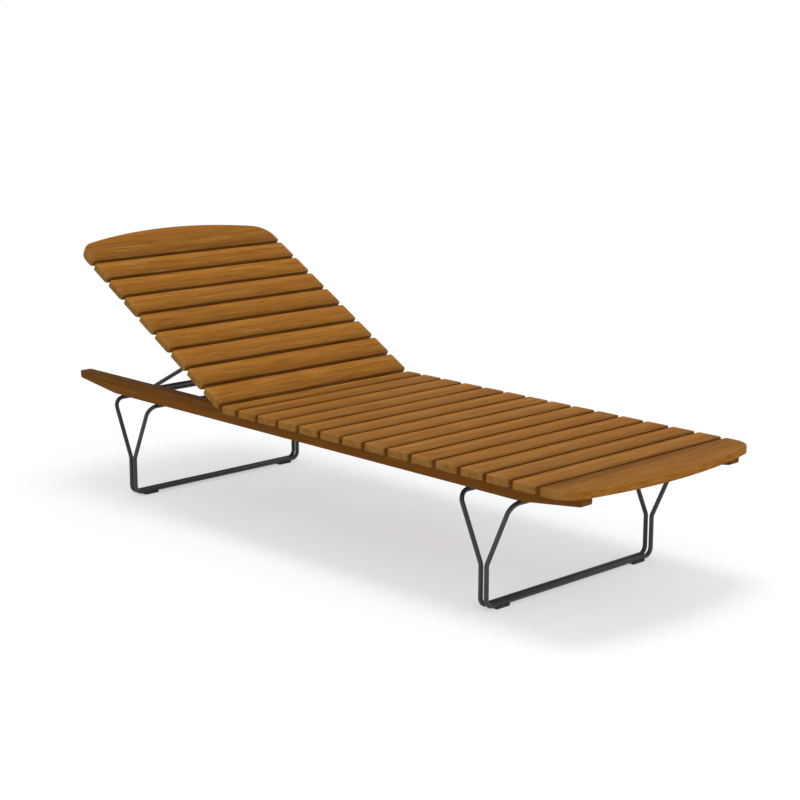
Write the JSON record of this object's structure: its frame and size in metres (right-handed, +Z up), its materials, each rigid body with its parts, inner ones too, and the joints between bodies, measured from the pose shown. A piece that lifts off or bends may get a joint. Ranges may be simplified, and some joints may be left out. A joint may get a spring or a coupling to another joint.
{
  "type": "adjustable sun lounger",
  "caption": "Low slatted bamboo sun lounger with a tilting backrest, a bent steel prop behind it and splayed black rod legs.",
  "frame": {"origin": "on the floor, under the middle of the box round the whole lounger with its backrest raised as pictured", "axes": "+X towards the foot end, +Y to the left of a person lying on it, +Z up"},
  "size_m": [1.9562, 0.677, 0.7185],
  "materials": {
    "bamboo_slats": "oiled, satin",
    "bamboo_rails": "oiled, satin, laminated",
    "black_steel": "black powder coat, satin",
    "zinc_hardware": "zinc plated",
    "brass_inserts": "plain",
    "nylon_bushes": "matte",
    "rubber_pads": "matte"
  },
  "bodies": {
    "base": {"foot_end_slat": "bamboo_slats", "foot_left_foot_pad": "rubber_pads", "foot_left_mounting_plate": "black_steel", "foot_left_plate_screws": "zinc_hardware", "foot_leg_inner_rod": "black_steel", "foot_leg_outer_rod": "black_steel", "foot_right_foot_pad": "rubber_pads", "foot_right_mounting_plate": "black_steel", "foot_right_plate_screws": "zinc_hardware", "head_left_foot_pad": "rubber_pads", "head_left_mounting_plate": "black_steel", "head_left_plate_screws": "zinc_hardware", "head_leg_inner_rod": "black_steel", "head_leg_outer_rod": "black_steel", "head_right_foot_pad": "rubber_pads", "head_right_mounting_plate": "black_steel", "head_right_plate_screws": "zinc_hardware", "left_hinge_bolt": "zinc_hardware", "left_hinge_insert": "brass_inserts", "left_hinge_washer": "zinc_hardware", "left_prop_rack": "black_steel", "left_side_rail": "bamboo_rails", "right_hinge_bolt": "zinc_hardware", "right_hinge_insert": "brass_inserts", "right_hinge_washer": "zinc_hardware", "right_prop_rack": "black_steel", "right_side_rail": "bamboo_rails", "seat_slat_01": "bamboo_slats", "seat_slat_02": "bamboo_slats", "seat_slat_03": "bamboo_slats", "seat_slat_04": "bamboo_slats", "seat_slat_05": "bamboo_slats", "seat_slat_06": "bamboo_slats", "seat_slat_07": "bamboo_slats", "seat_slat_08": "bamboo_slats", "seat_slat_09": "bamboo_slats", "seat_slat_10": "bamboo_slats", "seat_slat_11": "bamboo_slats", "seat_slat_12": "bamboo_slats", "seat_slat_13": "bamboo_slats", "seat_slat_14": "bamboo_slats"},
    "backrest": {"backrest_slat_01": "bamboo_slats", "backrest_slat_02": "bamboo_slats", "backrest_slat_03": "bamboo_slats", "backrest_slat_04": "bamboo_slats", "backrest_slat_05": "bamboo_slats", "backrest_slat_06": "bamboo_slats", "backrest_slat_07": "bamboo_slats", "backrest_slat_08": "bamboo_slats", "head_end_slat": "bamboo_slats", "left_backrest_rail": "bamboo_rails", "left_hinge_bush": "nylon_bushes", "left_prop_bush": "nylon_bushes", "right_backrest_rail": "bamboo_rails", "right_hinge_bush": "nylon_bushes", "right_prop_bush": "nylon_bushes"},
    "prop": {"prop_bail": "black_steel"}
  },
  "joints": [
    {"name": "backrest_tilt", "type": "hinge", "parent": "base", "child": "backrest", "pos_m": [-0.2598, 0, 0.3076], "axis": [0, 1, 0], "range_deg": [-29.5, 18.4]},
    {"name": "prop_swing", "type": "hinge", "parent": "backrest", "child": "prop", "pos_m": [-0.48605, 0, 0.42842], "axis": [0, 1, 0], "range_deg": [-34, 54]}
  ],
  "couplings": [
    {"joint": "prop_swing", "follows": "backrest_tilt", "ratio": -1.8}
  ]
}
